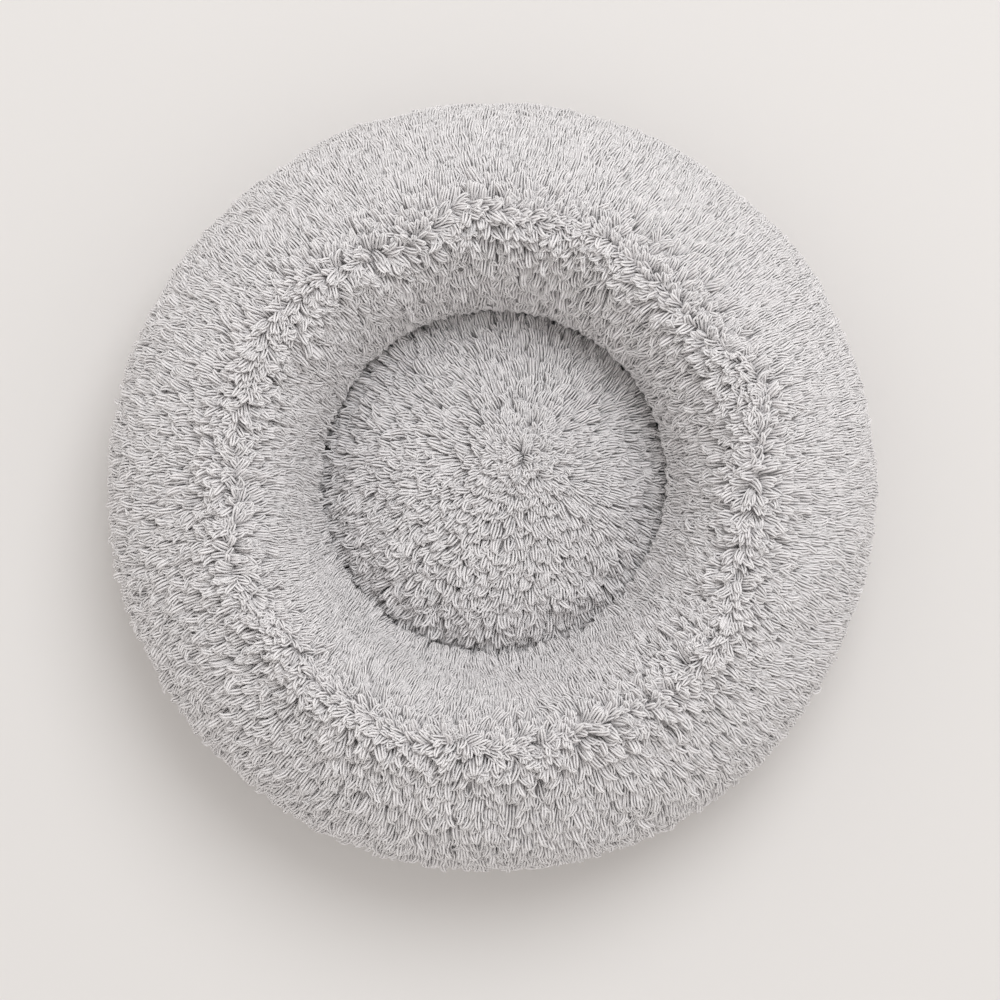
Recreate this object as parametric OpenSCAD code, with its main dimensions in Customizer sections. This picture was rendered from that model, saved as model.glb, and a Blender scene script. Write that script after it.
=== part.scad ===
// Round pet bed: a stuffed plush rim with a loose seat cushion in its well.
// The bed stands on z = 0 with its centre line on the z axis, in millimetres.
// Every round piece is a profile in (radius, height) turned about the z axis.

/* [Overall size] */
// Outer diameter of the bed over its pile
bed_d = 600; // [560:5:660]
// Height of the rim's crest over its pile
bed_h = 180; // [168:1:205]
// Narrowest inside diameter of the well, over the pile
well_d = 270; // [262:2:290]
// Radius of the crest, where the two wall panels are sewn together
crest_r = 200; // [192:1:210]

/* [Cloth and stuffing] */
// Thickness of the plush cloth with its pile laid down
plush_t = 20; // [12:1:22]
// Thickness of the non-slip base cloth
base_t = 1.5; // [1:0.1:1.8]
// Thickness of the plain lining cloth
lining_t = 1.2; // [0.8:0.1:1.4]
// Thickness of the cloth of the inner bags
bag_t = 1.2; // [0.8:0.1:2]

/* [Seat cushion] */
// Gap all round between the seat cushion and the narrowest part of the well
seat_gap = 2; // [1:0.5:6]
// Height of the seat cushion from its underside to its crown
seat_h = 95; // [84:1:110]
// Radius of the seat cushion's rounded edge
seat_edge_r = 36; // [28:1:38]

/* [Zip] */
// Distance the slider travels from closed to open
zip_travel = 236; // [160:4:240]
// Length of the pull tab from its cross bar to its tip
pull_l = 20; // [14:1:20]
// Width of the pull tab
pull_w = 7.2; // [6:0.2:8]

/* [Care label] */
// Length of the blank label along the zip
label_l = 34; // [20:1:40]
// Width of the blank label
label_w = 22; // [14:1:26]

/* [Hidden] */
$fn = 96;
turn_fn = 180;
gap = 0.3;
sliver = 0.1;
big = 400;

bed_r = bed_d / 2;
well_r = well_d / 2;

// Each circle is [radius of its centre, height of its centre, its own radius].
// A belt drawn tight round the circles, anticlockwise from the outer foot, is the profile.
// Kept narrower than the rim, so that the well's width is set by the inner belly alone
outer_belly_r = min(80, (bed_r - well_r) / 2 - 2);
crest_round_r = 52;
inner_belly_r = 60;
outer_foot_r = 22;
inner_foot_r = 34;
foot_r = bed_r - 50;
inner_foot_c = well_r + 37;
rim_belt = [
    [foot_r, outer_foot_r, outer_foot_r],
    [bed_r - outer_belly_r, outer_belly_r, outer_belly_r],
    [crest_r, bed_h - crest_round_r, crest_round_r],
    [well_r + inner_belly_r, 88, inner_belly_r],
    [inner_foot_c, inner_foot_r, inner_foot_r]
];

// The stuffed bag inside the plush stands on the base cloth
bag_floor = base_t + gap;
bag_outer_foot_r = 14;
bag_inner_foot_r = 20;
bag_belt = [
    [foot_r - 12, bag_floor + bag_outer_foot_r, bag_outer_foot_r],
    [bed_r - outer_belly_r, outer_belly_r, outer_belly_r - plush_t],
    [crest_r, bed_h - crest_round_r, crest_round_r - plush_t],
    [well_r + inner_belly_r, 88, inner_belly_r - plush_t],
    [inner_foot_c + 6, bag_floor + bag_inner_foot_r, bag_inner_foot_r]
];

// The base cloth is drawn up off the floor inside the rim, which leaves room for the zip
base_lift = 9;
lift_r = well_r + 7;
lift_foot_r = lift_r + 12;
binding_w = 4;
binding_h = 3.2;

// Heights of the zip, from the floor up
coil_h = 1.4;
tape_t = 0.6;
coil_z = base_lift;
tape_z = base_lift + base_t + sliver;
slot_w = 9.6;
coil_gap = 1;
coil_w = 1.7;
tape_w = 13;
slider_l = 12;
slider_w = 8.4;
plate_t = 1.2;
slider_low_z = 7.2;
slider_top_z = tape_z + tape_t + gap;
divider_t = 0.6;
flange_w = 0.9;
flange_top_z = tape_z - 0.4;
pivot_z = 6;
bar_r = 0.75;
bar_play = 0.1;
bridge_r = 1.9;
bridge_t = 1.8;
arm_w = 1.4;
arm_l = 6;
stop_l = 2.5;
stop_gap = 2;
closed_x = -zip_travel / 2;
coil_l = zip_travel + slider_l + 2 * stop_gap;
slot_l = coil_l + 2 * stop_l + 2;
tape_l = slot_l + 6;

// The well's floor lies just above the slider, and the seat cushion stands on it
well_floor_z = slider_top_z + plate_t + gap;
seat_z = well_floor_z + lining_t + gap;
well_floor_r = foot_inside(well_floor_z + lining_t) - 0.2;

seat_r = well_r - seat_gap;
seat_edge_c = seat_r - seat_edge_r;
seat_crown_z = seat_z + seat_h;
// The plush top is sewn to the lining underside low on the rounded edge
seat_hem_z = seat_z + seat_edge_r / 2;
seat_bag_edge_r = seat_edge_r - plush_t / 2;
seat_bag_edge_c = seat_r - 0.7 * plush_t - seat_bag_edge_r;

// Radius of the inner wall's underside at height z, on the inner foot's circle
function foot_inside(z) = inner_foot_c - sqrt(pow(inner_foot_r, 2) - pow(inner_foot_r - z, 2));

// Angle of the outward normal shared by two neighbouring circles of a belt
function belt_normal(a, b) =
    atan2(b[1] - a[1], b[0] - a[0]) - acos((a[2] - b[2]) / norm([b[0] - a[0], b[1] - a[1]]));

// Where the belt touches circle c, given the outward normal's angle
function belt_touch(c, angle) = [c[0] + c[2] * cos(angle), c[1] + c[2] * sin(angle)];

// The two touching points of each straight stretch of the belt
function belt_points(belt) = [
    for (i = [0 : len(belt) - 1])
        let (a = belt[i], b = belt[(i + 1) % len(belt)], angle = belt_normal(a, b))
            each [belt_touch(a, angle), belt_touch(b, angle)]
];

// A belt's circles with their radii made smaller, which moves the outline inwards evenly
function shrunk(belt, inset) = [for (c = belt) [c[0], c[1], c[2] - inset]];

module belt_profile(belt, inset = 0) {
    small = shrunk(belt, inset);
    polygon(belt_points(small));
    for (c = small)
        translate([c[0], c[1]])
            circle(c[2]);
}

module turned() {
    rotate_extrude($fn = turn_fn)
        children();
}

module block(r0, z0, r1, z1) {
    translate([r0, z0])
        square([r1 - r0, z1 - z0]);
}

module plush_wall_profile() {
    difference() {
        belt_profile(rim_belt);
        belt_profile(bag_belt);
        block(0, -sliver, foot_r + gap, bag_floor);
        block(foot_r - sliver, -sliver, foot_r + binding_w + gap, binding_h + gap);
    }
}

module outer_wall_panel() {
    color("silver")
        turned()
            intersection() {
                plush_wall_profile();
                block(crest_r + sliver, -sliver, big, big);
            }
}

module inner_wall_panel() {
    color("lightgray")
        turned()
            intersection() {
                plush_wall_profile();
                block(0, -sliver, crest_r - sliver, big);
            }
}

module well_floor_panel() {
    color("gray")
        translate([0, 0, well_floor_z])
            cylinder(r = well_floor_r, h = lining_t, $fn = turn_fn);
}

module bolster_liner() {
    color("white")
        turned()
            difference() {
                belt_profile(bag_belt, gap);
                belt_profile(bag_belt, gap + bag_t);
            }
}

module bolster_filling() {
    color("whitesmoke")
        turned()
            belt_profile(bag_belt, 2 * gap + bag_t);
}

// One half of the base cloth: side is 1 for the rear half and -1 for the front half
module base_half(side) {
    difference() {
        turned()
            polygon([
                [0, base_lift],
                [lift_r, base_lift],
                [lift_foot_r, 0],
                [foot_r - sliver, 0],
                [foot_r - sliver, base_t],
                [lift_foot_r + 0.6, base_t],
                [lift_r + 0.6, base_lift + base_t],
                [0, base_lift + base_t]
            ]);
        translate([-slot_l / 2, -slot_w / 2, -sliver])
            cube([slot_l, slot_w, big]);
        translate([-big, side > 0 ? -2 * big + sliver : -sliver, -sliver])
            cube([2 * big, 2 * big, big]);
    }
}

module base_panel_front() {
    color("dimgray")
        base_half(-1);
}

module base_panel_rear() {
    color("dimgray")
        base_half(1);
}

module base_binding() {
    color("gray")
        turned()
            block(foot_r, 0, foot_r + binding_w, binding_h);
}

// A strip along the zip, on one side of it: y0 is the distance of its near edge from the middle
module zip_strip(side, l, y0, w, z, h) {
    translate([-l / 2, side > 0 ? y0 : -y0 - w, z])
        cube([l, w, h]);
}

module zip_tape_front() {
    color("slategray")
        zip_strip(-1, tape_l, coil_gap / 2, tape_w, tape_z, tape_t);
}

module zip_tape_rear() {
    color("slategray")
        zip_strip(1, tape_l, coil_gap / 2, tape_w, tape_z, tape_t);
}

module zip_coil_front() {
    color("darkgray")
        zip_strip(-1, coil_l, coil_gap / 2, coil_w, coil_z, coil_h);
}

module zip_coil_rear() {
    color("darkgray")
        zip_strip(1, coil_l, coil_gap / 2, coil_w, coil_z, coil_h);
}

module zip_top_stops() {
    color("lightsteelblue")
        for (side = [-1, 1])
            translate([-coil_l / 2 - stop_l - sliver, side > 0 ? coil_gap / 2 : -coil_gap / 2 - coil_w, coil_z])
                cube([stop_l, coil_w, coil_h]);
}

module zip_bottom_stop() {
    color("lightsteelblue")
        translate([coil_l / 2 + sliver, -coil_gap / 2 - coil_w, coil_z])
            cube([stop_l, coil_gap + 2 * coil_w, coil_h]);
}

module care_label() {
    color("white")
        translate([zip_travel / 4, -slot_w - label_w, base_lift - 0.5])
            cube([label_l, label_w, 0.4]);
}

module slider_plate(z) {
    translate([-slider_l / 2, -slider_w / 2, z])
        cube([slider_l, slider_w, plate_t]);
}

// Slider: two plates with a divider between them, side flanges, and the bridge that holds the pull
module zip_slider() {
    low_top_z = slider_low_z + plate_t;
    color("darkslategray")
        translate([closed_x, 0, 0])
            difference() {
                union() {
                    slider_plate(slider_low_z);
                    slider_plate(slider_top_z);
                    translate([1.5, -divider_t / 2, slider_low_z])
                        cube([3, divider_t, slider_top_z - slider_low_z + plate_t]);
                    for (y = [-slider_w / 2, slider_w / 2 - flange_w])
                        translate([-slider_l / 2, y, low_top_z - sliver])
                            cube([slider_l, flange_w, flange_top_z - low_top_z + sliver]);
                    translate([0, bridge_t / 2, pivot_z])
                        rotate([90, 0, 0])
                            cylinder(r = bridge_r, h = bridge_t);
                    translate([-bridge_r, -bridge_t / 2, pivot_z])
                        cube([2 * bridge_r, bridge_t, slider_low_z - pivot_z + sliver]);
                }
                translate([0, bridge_t, pivot_z])
                    rotate([90, 0, 0])
                        cylinder(r = bar_r + bar_play, h = 2 * bridge_t);
            }
}

// Pull tab: a cross bar through the bridge, two arms beside it, and the tab the fingers hold
module zip_pull() {
    inner_y = bridge_t / 2 + 0.3;
    color("darkslategray")
        translate([closed_x, 0, pivot_z])
            difference() {
                union() {
                    translate([0, inner_y + arm_w, 0])
                        rotate([90, 0, 0])
                            cylinder(r = bar_r, h = 2 * (inner_y + arm_w));
                    for (y = [inner_y, -inner_y - arm_w])
                        translate([0, y, -bar_r])
                            cube([arm_l + 1, arm_w, 2 * bar_r]);
                    translate([arm_l, -pull_w / 2, -bar_r])
                        cube([pull_l - arm_l - pull_w / 2, pull_w, 2 * bar_r]);
                    translate([pull_l - pull_w / 2, 0, -bar_r])
                        cylinder(r = pull_w / 2, h = 2 * bar_r);
                }
                translate([pull_l - pull_w / 2, 0, -2 * bar_r])
                    cylinder(r = pull_w / 4, h = 4 * bar_r);
            }
}

// Outline of a round cushion: a dome that runs smoothly into a rounded edge, and a flat underside
module cushion_outline(crown_z, edge_c, edge_r, floor_z) {
    seam_z = floor_z + edge_r;
    // The dome's circle touches the edge's circle from outside, which fixes the height of its centre
    rise = crown_z - edge_r;
    dome_z = (pow(rise, 2) - pow(edge_c, 2) - pow(seam_z, 2)) / (2 * (rise - seam_z));
    reach = 2 * crown_z / (seam_z - dome_z);
    translate([edge_c, seam_z])
        circle(edge_r);
    block(0, floor_z, edge_c, seam_z + sliver);
    intersection() {
        translate([0, dome_z])
            circle(crown_z - dome_z, $fn = 4 * turn_fn);
        polygon([
            [0, seam_z],
            [edge_c, seam_z],
            [edge_c * (1 + reach), seam_z + (seam_z - dome_z) * reach],
            [0, seam_z + (seam_z - dome_z) * reach]
        ]);
    }
}

module seat_profile() {
    cushion_outline(seat_crown_z, seat_edge_c, seat_edge_r, seat_z);
}

// The bag inside the seat cushion fills it from the thin lining below to the thick plush above
module seat_bag_profile(inset = 0) {
    cushion_outline(
        seat_crown_z - plush_t - inset,
        seat_bag_edge_c,
        seat_bag_edge_r - inset,
        seat_z + lining_t + gap + inset
    );
}

module seat_top_cover() {
    color("lightgray")
        turned()
            difference() {
                seat_profile();
                seat_bag_profile();
                block(0, seat_z - sliver, big, seat_hem_z);
            }
}

module seat_bottom_cover() {
    color("gray")
        turned()
            difference() {
                seat_profile();
                seat_bag_profile();
                block(0, seat_hem_z - sliver, big, big);
            }
}

module seat_liner() {
    color("white")
        turned()
            difference() {
                seat_bag_profile(gap);
                seat_bag_profile(gap + bag_t);
            }
}

module seat_filling() {
    color("whitesmoke")
        turned()
            seat_bag_profile(2 * gap + bag_t);
}

outer_wall_panel();
inner_wall_panel();
well_floor_panel();
bolster_liner();
bolster_filling();
base_panel_front();
base_panel_rear();
base_binding();
zip_tape_front();
zip_tape_rear();
zip_coil_front();
zip_coil_rear();
zip_top_stops();
zip_bottom_stop();
care_label();
zip_slider();
zip_pull();
seat_top_cover();
seat_bottom_cover();
seat_liner();
seat_filling();
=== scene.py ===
"""Looks for the round plush pet bed: pile, cloth, stuffing and zip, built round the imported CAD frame.

Lengths are in metres. Angles round the bed are in radians, anticlockwise from +X seen from above.
A grid is an array of points in rows and columns: rows run along an outline, columns run round the bed.
"""

import math

import bmesh
import bpy
import numpy as np
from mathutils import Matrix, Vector


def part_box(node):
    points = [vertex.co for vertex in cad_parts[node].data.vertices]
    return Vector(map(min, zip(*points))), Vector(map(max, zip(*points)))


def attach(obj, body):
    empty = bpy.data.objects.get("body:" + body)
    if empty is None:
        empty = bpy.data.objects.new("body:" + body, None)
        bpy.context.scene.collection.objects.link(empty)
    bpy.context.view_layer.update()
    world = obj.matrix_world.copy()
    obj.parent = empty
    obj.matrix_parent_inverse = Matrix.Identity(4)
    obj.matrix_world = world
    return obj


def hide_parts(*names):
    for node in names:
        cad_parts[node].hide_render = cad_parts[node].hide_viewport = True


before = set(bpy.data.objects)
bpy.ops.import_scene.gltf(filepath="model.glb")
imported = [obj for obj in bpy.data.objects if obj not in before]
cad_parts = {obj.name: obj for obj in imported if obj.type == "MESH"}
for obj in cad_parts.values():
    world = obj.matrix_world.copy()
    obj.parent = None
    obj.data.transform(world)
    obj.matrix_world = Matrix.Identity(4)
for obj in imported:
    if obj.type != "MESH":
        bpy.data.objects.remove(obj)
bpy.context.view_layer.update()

MM = 0.001
TURN = 2 * np.pi
UP = np.array([0.0, 0.0, 1.0])
THREAD_W = 0.4 * MM


# ---- sizes read from the CAD frame

def polar(points):
    """Distances of points from the z axis, and their angles round it."""
    return np.hypot(points[..., 0], points[..., 1]), np.arctan2(points[..., 1], points[..., 0])


def node_points(node):
    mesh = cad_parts[node].data
    points = np.empty(len(mesh.vertices) * 3)
    mesh.vertices.foreach_get("co", points)
    return points.reshape(-1, 3)


def node_radii(node):
    return polar(node_points(node))[0]


BED_R = node_radii("outer_wall_panel").max()
BED_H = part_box("outer_wall_panel")[1].z
CREST_R = node_radii("inner_wall_panel").max()
WELL_R = node_radii("inner_wall_panel").min()
WELL_FLOOR_R = node_radii("well_floor_panel").max()
WELL_FLOOR_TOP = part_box("well_floor_panel")[1].z
BINDING_R = node_radii("base_binding").max()
BINDING_IN_R = node_radii("base_binding").min()
BINDING_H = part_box("base_binding")[1].z
SEAT_R = node_radii("seat_top_cover").max()
SEAT_FLOOR_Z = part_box("seat_bottom_cover")[0].z
SEAT_HEM_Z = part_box("seat_bottom_cover")[1].z
SEAT_TOP_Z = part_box("seat_top_cover")[1].z
base_points, base_radii = node_points("base_panel_front"), node_radii("base_panel_front")
BASE_R = base_radii.max()
RECESS_OUT_R = base_radii[base_points[:, 2] < 0.1 * MM].min()
SLOT_X = base_radii.min()
RECESS_Z = base_points[base_radii < SLOT_X + 1 * MM, 2].min()
RECESS_IN_R = base_radii[np.abs(base_points[:, 2] - RECESS_Z) < 0.1 * MM].max()
SLOT_Y = np.abs(base_points[base_radii < SLOT_X + 0.3 * MM, 1]).max()


# ---- vectors and grids

def around(count):
    """Angles evenly spaced round a turn."""
    return np.linspace(0, TURN, count, endpoint=False)


def unit(v):
    return v / np.maximum(np.linalg.norm(v, axis=-1, keepdims=True), 1e-12)


def turn_about(v, axis, angle):
    """Unit vectors v turned about unit axes, one angle each."""
    c, s = np.cos(angle)[:, None], np.sin(angle)[:, None]
    return unit(v * c + np.cross(axis, v) * s)


def waves(rng, angle, run, count=6, turns=(1, 7), pitch=(0.08, 0.3)):
    """A smooth random field between about -1 and 1, closed round the bed."""
    field = np.zeros(np.broadcast(angle, run).shape)
    for _ in range(count):
        turn = rng.integers(turns[0], turns[1] + 1)
        length = rng.uniform(*pitch)
        field += np.sin(turn * angle + TURN * run / length + rng.uniform(0, TURN))
    return field / math.sqrt(count)


def smooth_outline(points, count):
    """count points evenly spaced along a Catmull-Rom curve through the given open outline."""
    p = np.array(points, float)
    p = np.vstack([2 * p[0] - p[1], p, 2 * p[-1] - p[-2]])
    t = np.linspace(0, 1, 40, endpoint=False)[:, None]
    spans = []
    for a, b, c, d in zip(p[:-3], p[1:-2], p[2:-1], p[3:]):
        spans.append(0.5 * (2 * b + (c - a) * t + (2 * a - 5 * b + 4 * c - d) * t**2
                            + (3 * b - a - 3 * c + d) * t**3))
    return even_outline(np.vstack(spans + [p[-2:-1]]), count)


def even_outline(points, count):
    """count points evenly spaced along the straight stretches of an open outline."""
    run = np.concatenate([[0], np.cumsum(np.linalg.norm(np.diff(points, axis=0), axis=1))])
    at = np.linspace(0, run[-1], count)
    return np.column_stack([np.interp(at, run, points[:, k]) for k in range(2)])


def turned_grid(outline, columns):
    """The outline turned about the z axis, as a grid of points."""
    radius, z, angle = outline[:, :1], outline[:, 1:], around(columns)
    return points_at(radius * np.cos(angle), radius * np.sin(angle), z)


def points_at(x, y, z):
    """Points from coordinates that are stretched to fit one another."""
    return np.stack(np.broadcast_arrays(x, y, np.asarray(z, float)), -1)


def grid_normals(grid):
    """Unit normals of a grid that is closed round its columns. They point to the left of the rows."""
    rows = np.gradient(grid, axis=0)
    columns = np.roll(grid, -1, 1) - np.roll(grid, 1, 1)
    return unit(np.cross(columns, rows))


class Patch:
    """A grid, closed round its columns, that can be read at any distance along it and angle round it."""

    def __init__(self, grid):
        self.grid = grid
        self.normal = grid_normals(grid)
        self.along = unit(np.gradient(grid, axis=0))
        step = np.linalg.norm(np.diff(grid, axis=0), axis=2).mean(1)
        self.run = np.concatenate([[0], np.cumsum(step)])
        self.radius = polar(grid)[0].mean(1)

    def read(self, values, row, angle):
        rows, columns = self.grid.shape[:2]
        row = np.clip(row, 0, rows - 1 - 1e-6)
        column = (angle / TURN * columns) % columns
        i, j = row.astype(int), column.astype(int) % columns
        a, b = (row - i)[:, None], (column - np.floor(column))[:, None]
        k = (j + 1) % columns
        low = values[i, j] * (1 - b) + values[i, k] * b
        high = values[i + 1, j] * (1 - b) + values[i + 1, k] * b
        return low * (1 - a) + high * a

    def at(self, run, angle):
        """Points, normals and along-directions."""
        row = np.interp(run, self.run, np.arange(len(self.run)))
        return (self.read(self.grid, row, angle), unit(self.read(self.normal, row, angle)),
                unit(self.read(self.along, row, angle)))

    def scatter(self, rng, start, end, row_gap, tuft_gap):
        """Jittered rows of places between two distances along the patch."""
        runs, angles = [], []
        for run in np.arange(start, end, row_gap):
            count = max(int(TURN * np.interp(run, self.run, self.radius) / tuft_gap), 6)
            turn = (np.arange(count) + rng.uniform(0, 1) + rng.uniform(-0.45, 0.45, count)) / count
            angles.append(TURN * (turn % 1))
            runs.append(run + rng.uniform(-0.5, 0.5, count) * row_gap)
        return np.concatenate(runs), np.concatenate(angles)


# ---- meshes

def add_object(name, data):
    piece = bpy.data.objects.new(name, data)
    bpy.context.scene.collection.objects.link(piece)
    return piece


def mesh_object(name, points, corners, counts, materials, material_index=None):
    """A smooth mesh object from flat arrays: points, all faces' corners in a row, and corners per face."""
    mesh = bpy.data.meshes.new(name)
    starts = np.concatenate([[0], np.cumsum(counts)[:-1]]).astype(np.int32)
    mesh.vertices.add(len(points))
    mesh.vertices.foreach_set("co", np.asarray(points, np.float32).ravel())
    mesh.loops.add(len(corners))
    mesh.loops.foreach_set("vertex_index", np.asarray(corners, np.int32))
    mesh.polygons.add(len(counts))
    mesh.polygons.foreach_set("loop_start", starts)
    mesh.polygons.foreach_set("use_smooth", np.full(len(counts), True))
    if material_index is not None:
        mesh.polygons.foreach_set("material_index", np.asarray(material_index, np.int32))
    for material in materials:
        mesh.materials.append(material)
    mesh.update(calc_edges=True)
    return add_object(name, mesh)


def quads(rows, columns, close_rows=False, close_columns=True):
    """The quads of a grid, one row of four corners each, whose normals point left of the rows."""
    i, j = np.meshgrid(np.arange(rows if close_rows else rows - 1),
                       np.arange(columns if close_columns else columns - 1), indexing="ij")
    up, on = (i + 1) % rows, (j + 1) % columns
    corners = [i * columns + j, i * columns + on, up * columns + on, up * columns + j]
    return np.stack(corners, -1).reshape(-1, 4)


def quad_object(name, points, faces, material):
    return mesh_object(name, points.reshape(-1, 3), faces.ravel(), np.full(len(faces), 4), [material])


def shell(name, grid, thickness, material, close_columns=True, normals=None, close_rows=False):
    """A closed sheet of cloth: the grid is its outer face, and the inner face lies thickness behind it."""
    rows, columns = grid.shape[:2]
    normals = grid_normals(grid) if normals is None else normals
    points = np.concatenate([grid, grid - normals * thickness])
    outer = quads(rows, columns, close_rows, close_columns)
    back = rows * columns
    edges = []
    if not close_rows:
        first = np.arange(columns if close_columns else columns - 1)
        on = (first + 1) % columns
        last = back - columns
        edges += [(on, first), (last + first, last + on)]
    if not close_columns:
        side = np.arange(rows - 1) * columns
        far = side + columns - 1
        edges += [(side, side + columns), (far + columns, far)]
    rims = [np.stack([a, b, back + b, back + a], -1) for a, b in edges]
    return quad_object(name, points, np.concatenate([outer, outer[:, ::-1] + back, *rims]), material)


def ring_body(name, section, material):
    """A closed body from a grid that is closed both ways, such as a ring."""
    return quad_object(name, section, quads(*section.shape[:2], close_rows=True), material)


def capped_body(name, grid, material):
    """A closed body from a grid whose first and last rows shrink to one point each."""
    rows, columns = grid.shape[:2]
    ends = np.stack([grid[0].mean(0), grid[-1].mean(0)])
    points = np.concatenate([grid.reshape(-1, 3), ends])
    j = np.arange(columns)
    on = (j + 1) % columns
    count = rows * columns
    low = np.stack([on, j, np.full(columns, count)], -1)
    high = np.stack([count - columns + j, count - columns + on, np.full(columns, count + 1)], -1)
    body = quads(rows, columns)
    corners = np.concatenate([body.ravel(), low.ravel(), high.ravel()])
    counts = np.concatenate([np.full(len(body), 4), np.full(2 * columns, 3)])
    return mesh_object(name, points, corners, counts, [material])


def tube_grid(path, radius, sides, up):
    """Rings of points round a path, for capped_body. up is a direction that the path never takes."""
    heading = unit(np.gradient(path, axis=0))
    side = unit(np.cross(heading, np.array(up, float)))
    lift = np.cross(side, heading)
    angle = around(sides)
    ring = side[:, None] * np.cos(angle)[:, None] - lift[:, None] * np.sin(angle)[:, None]
    return path[:, None] + radius * ring


def stitches(name, centres, headings, outward, length, width=THREAD_W):
    """One object of sewn stitches: each is a short arched thread whose ends go into the cloth."""
    t = np.linspace(-1, 1, 5)
    arch = 1.1 * width * (1 - t**2) - 0.5 * width
    swell = width / 2 * np.array([0.6, 0.95, 1, 0.95, 0.6])
    path = (centres[:, None] + headings[:, None] * (t * length / 2)[:, None]
            + outward[:, None] * arch[:, None])
    side = np.cross(headings, outward)[:, None, None]
    lift = outward[:, None, None]
    angle = around(6)
    ring = side * np.cos(angle)[:, None] - lift * np.sin(angle)[:, None]
    points = path[:, :, None] + swell[:, None, None] * ring
    one = quads(5, 6)
    ends = np.array([[5, 4, 3, 2, 1, 0], [24, 25, 26, 27, 28, 29]])
    shift = 30 * np.arange(len(centres))[:, None, None]
    corners = np.concatenate([(one[None] + shift).ravel(), (ends[None] + shift).ravel()])
    counts = np.concatenate([np.full(len(one) * len(centres), 4), np.full(2 * len(centres), 6)])
    return mesh_object(name, points.reshape(-1, 3), corners, counts, [sewing_thread])


def stitch_ring(name, radius, z, outward, gap, length):
    """A ring of stitches round the bed, standing out along outward, which is (radial, upward)."""
    angle = np.arange(int(TURN * radius / gap)) * gap / radius
    c, s = np.cos(angle), np.sin(angle)
    centres = points_at(radius * c, radius * s, z)
    headings = np.column_stack([-s, c, 0 * c])
    out = points_at(outward[0] * c, outward[0] * s, outward[1])
    return stitches(name, centres, headings, out, length)


def bevelled(name, node, width, material):
    """A copy of a CAD node with its outer edges rounded."""
    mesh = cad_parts[node].data.copy()
    mesh.materials.clear()
    mesh.materials.append(material)
    work = bmesh.new()
    work.from_mesh(mesh)
    bmesh.ops.remove_doubles(work, verts=work.verts, dist=0.001 * MM)
    bmesh.ops.dissolve_limit(work, angle_limit=0.03, verts=work.verts, edges=work.edges)
    sharp = [edge for edge in work.edges if len(edge.link_faces) == 2 and edge.is_convex
             and edge.calc_face_angle() > 0.6]
    bmesh.ops.bevel(work, geom=sharp, offset=width, segments=3, profile=0.5, affect="EDGES",
                    clamp_overlap=True)
    for face in work.faces:
        face.smooth = True
        face.material_index = 0
    for edge in work.edges:
        edge.smooth = len(edge.link_faces) != 2 or edge.calc_face_angle() < 0.5
    work.to_mesh(mesh)
    work.free()
    piece = add_object(name, mesh)
    piece.matrix_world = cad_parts[node].matrix_world
    return piece


# ---- materials

def plain_material(name, colour, roughness, **values):
    """A Principled material with plain values. Underscores in the socket names stand for spaces."""
    material = bpy.data.materials.new(name)
    material.use_nodes = True
    for socket, value in dict(Base_Color=(*colour, 1), Roughness=roughness, **values).items():
        shader_input(material, socket.replace("_", " ")).default_value = value
    return material


def add_node(material, kind, **values):
    node = material.node_tree.nodes.new(kind)
    for name, value in values.items():
        if hasattr(node, name):
            setattr(node, name, value)
        else:
            node.inputs[name.replace("_", " ")].default_value = value
    return node


def join(material, start, end):
    material.node_tree.links.new(start, end)


def shader_input(material, name):
    return material.node_tree.nodes["Principled BSDF"].inputs[name]


def texture(material, kind, scale, **values):
    """A texture node read in the piece's own coordinates. scale is one number or one per axis."""
    place = add_node(material, "ShaderNodeTexCoord")
    mapping = add_node(material, "ShaderNodeMapping")
    mapping.inputs["Scale"].default_value = (scale,) * 3 if np.isscalar(scale) else scale
    node = add_node(material, kind, **values)
    node.inputs["Scale"].default_value = 1
    join(material, place.outputs["Object"], mapping.inputs["Vector"])
    join(material, mapping.outputs["Vector"], node.inputs["Vector"])
    return node


def noise(material, scale, detail, **values):
    return texture(material, "ShaderNodeTexNoise", scale, Detail=detail, **values).outputs["Fac"]


def maths(material, operation, a, b):
    node = add_node(material, "ShaderNodeMath", operation=operation)
    for socket, value in zip(node.inputs, (a, b)):
        if hasattr(value, "is_linked"):
            join(material, value, socket)
        else:
            socket.default_value = value
    return node.outputs[0]


def colour_by(material, value, low, high):
    """Links the base colour to a mix of two colours by value."""
    mix = add_node(material, "ShaderNodeMix", data_type="RGBA")
    colours = [socket for socket in mix.inputs if socket.type == "RGBA"]
    colours[0].default_value = (*low, 1)
    colours[1].default_value = (*high, 1)
    join(material, value, mix.inputs[0])
    out = [socket for socket in mix.outputs if socket.type == "RGBA"][0]
    join(material, out, shader_input(material, "Base Color"))


def bump_by(material, height, depth, strength=0.6):
    bump = add_node(material, "ShaderNodeBump", Strength=strength, Distance=depth)
    join(material, height, bump.inputs["Height"])
    join(material, bump.outputs["Normal"], shader_input(material, "Normal"))


def roughness_by(material, value, low, high):
    span = add_node(material, "ShaderNodeMapRange", To_Min=low, To_Max=high)
    join(material, value, span.inputs["Value"])
    join(material, span.outputs[0], shader_input(material, "Roughness"))


# Blender's wave texture repeats 3.2 times over one unit of its coordinates, near enough
WAVES_A_UNIT = 3.2


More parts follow.
